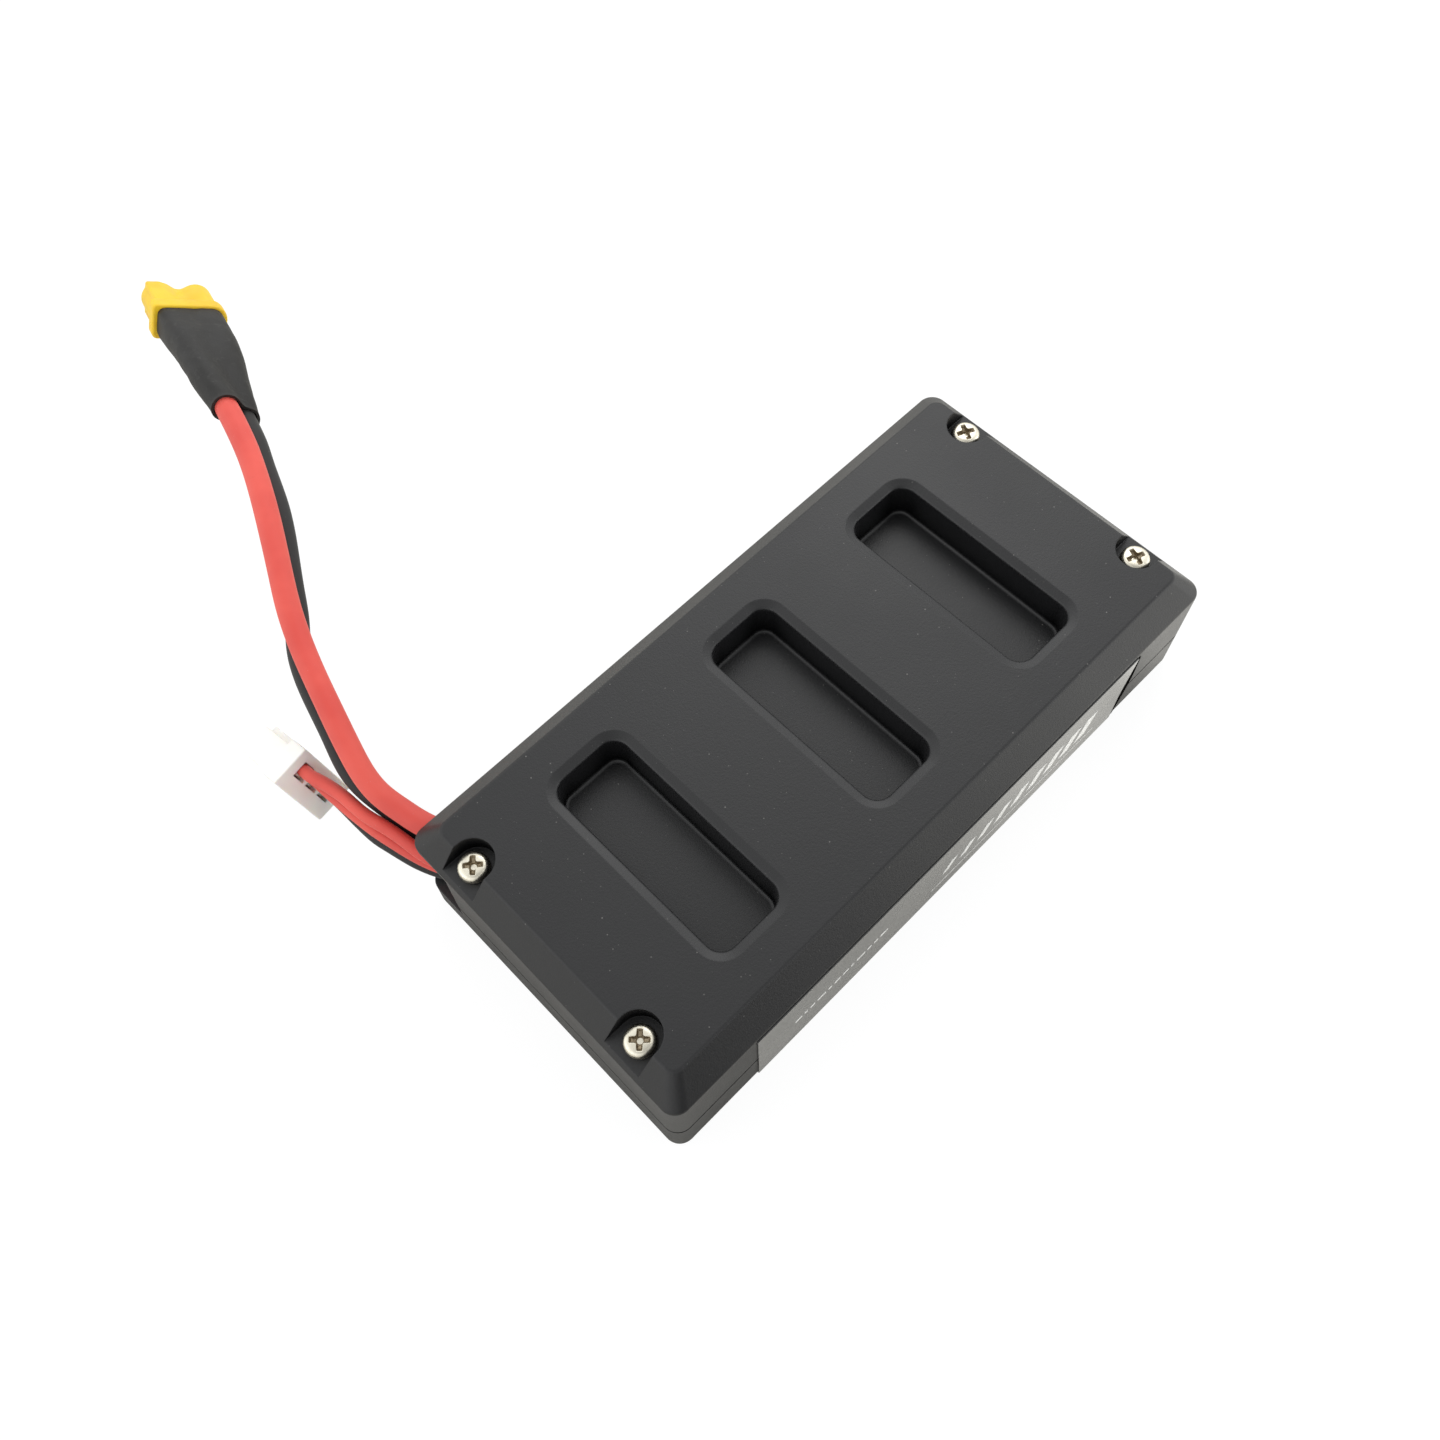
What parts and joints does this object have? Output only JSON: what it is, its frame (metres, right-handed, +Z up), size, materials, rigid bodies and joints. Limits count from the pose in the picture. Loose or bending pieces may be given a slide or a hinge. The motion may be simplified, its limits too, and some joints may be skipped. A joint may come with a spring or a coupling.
{
  "type": "lithium polymer battery pack",
  "caption": "Hard-case lithium polymer battery pack with screwed cover, wrap label, arched power leads to a bullet-contact plug, and thin balance leads to a small plug",
  "frame": {"origin": "on the table plane, under the middle of the case footprint", "axes": "+Z up out of the cover, X along the length of the case with the leads leaving the -X end, Y across its width with the leads on the +Y side"},
  "size_m": [0.1012, 0.1348, 0.0292],
  "materials": {
    "case_plastic": "moulded matte black",
    "label_film": "semi gloss printed film",
    "screw_nickel": "nickel plated",
    "pouch_film": "satin laminate",
    "cell_tab": "bright",
    "white_tape": "adhesive tape",
    "foam": "closed cell foam",
    "amber_film": "polyimide film",
    "board_laminate": "solder mask",
    "solder": "solder",
    "silicone_red": "silicone insulation",
    "silicone_black": "silicone insulation",
    "plug_yellow": "moulded nylon",
    "contact_gold": "gold plated",
    "shrink_black": "heat shrink",
    "plug_white": "moulded nylon",
    "terminal_tin": "tin plated"
  },
  "bodies": {
    "base": {"bottom_tray": "case_plastic", "wrap_label": "label_film", "cell_lower": "pouch_film", "cell_upper": "pouch_film", "cell_lower_tabs": "cell_tab", "cell_upper_tabs": "cell_tab", "base_bond_tape": "white_tape", "cell_bond_tape": "white_tape", "foam_pad": "foam", "polyimide_tape": "amber_film", "junction_board": "board_laminate", "solder_joints": "solder", "power_lead_red_root": "silicone_red", "power_lead_black_root": "silicone_black", "balance_lead_positive_root": "silicone_red", "balance_lead_middle_root": "silicone_red", "balance_lead_negative_root": "silicone_black"},
    "cover": {"top_cover": "case_plastic"},
    "screws": {"case_screws": "screw_nickel"},
    "power_lead_mid": {"power_lead_red_mid": "silicone_red", "power_lead_black_mid": "silicone_black"},
    "power_lead_tip": {"power_lead_red_tip": "silicone_red", "power_lead_black_tip": "silicone_black"},
    "power_plug": {"power_lead_red_end": "silicone_red", "power_lead_black_end": "silicone_black", "power_plug_sleeve": "shrink_black", "power_plug_housing": "plug_yellow", "power_plug_contacts": "contact_gold"},
    "balance_lead_run": {"balance_lead_positive_run": "silicone_red", "balance_lead_middle_run": "silicone_red", "balance_lead_negative_run": "silicone_black"},
    "balance_plug": {"balance_lead_positive_end": "silicone_red", "balance_lead_middle_end": "silicone_red", "balance_lead_negative_end": "silicone_black", "balance_plug_housing": "plug_white", "balance_plug_terminals": "terminal_tin"}
  },
  "joints": [
    {"name": "cover_lift", "type": "slide", "parent": "base", "child": "cover", "axis": [0, 0, 1], "range_m": [0, 0.03]},
    {"name": "screws_withdraw", "type": "slide", "parent": "cover", "child": "screws", "axis": [0, 0, 1], "range_m": [0, 0.012]},
    {"name": "power_lead_swing", "type": "hinge", "parent": "base", "child": "power_lead_mid", "pos_m": [-0.04495, 0.0303, 0.0123], "axis": [0, 0, 1], "range_deg": [-60, 0], "stiffness_Nm_per_rad": 0.01},
    {"name": "power_lead_raise", "type": "hinge", "parent": "power_lead_mid", "child": "power_lead_tip", "pos_m": [-0.0371, 0.0575, 0.022], "axis": [0.8821, -0.4711, 0], "range_deg": [-20, 35], "stiffness_Nm_per_rad": 0.05},
    {"name": "power_plug_turn", "type": "hinge", "parent": "power_lead_tip", "child": "power_plug", "pos_m": [-0.02675, 0.0775, 0.0255], "axis": [0, 0, 1], "range_deg": [-30, 30], "stiffness_Nm_per_rad": 0.01},
    {"name": "balance_lead_swing", "type": "hinge", "parent": "base", "child": "balance_lead_run", "pos_m": [-0.04775, 0.02985, 0.0092], "axis": [0, 0, 1], "range_deg": [0, 45], "stiffness_Nm_per_rad": 0.003},
    {"name": "balance_plug_turn", "type": "hinge", "parent": "balance_lead_run", "child": "balance_plug", "pos_m": [-0.0489, 0.0384, 0.0091], "axis": [0, 0, 1], "range_deg": [-25, 25], "stiffness_Nm_per_rad": 0.003}
  ]
}
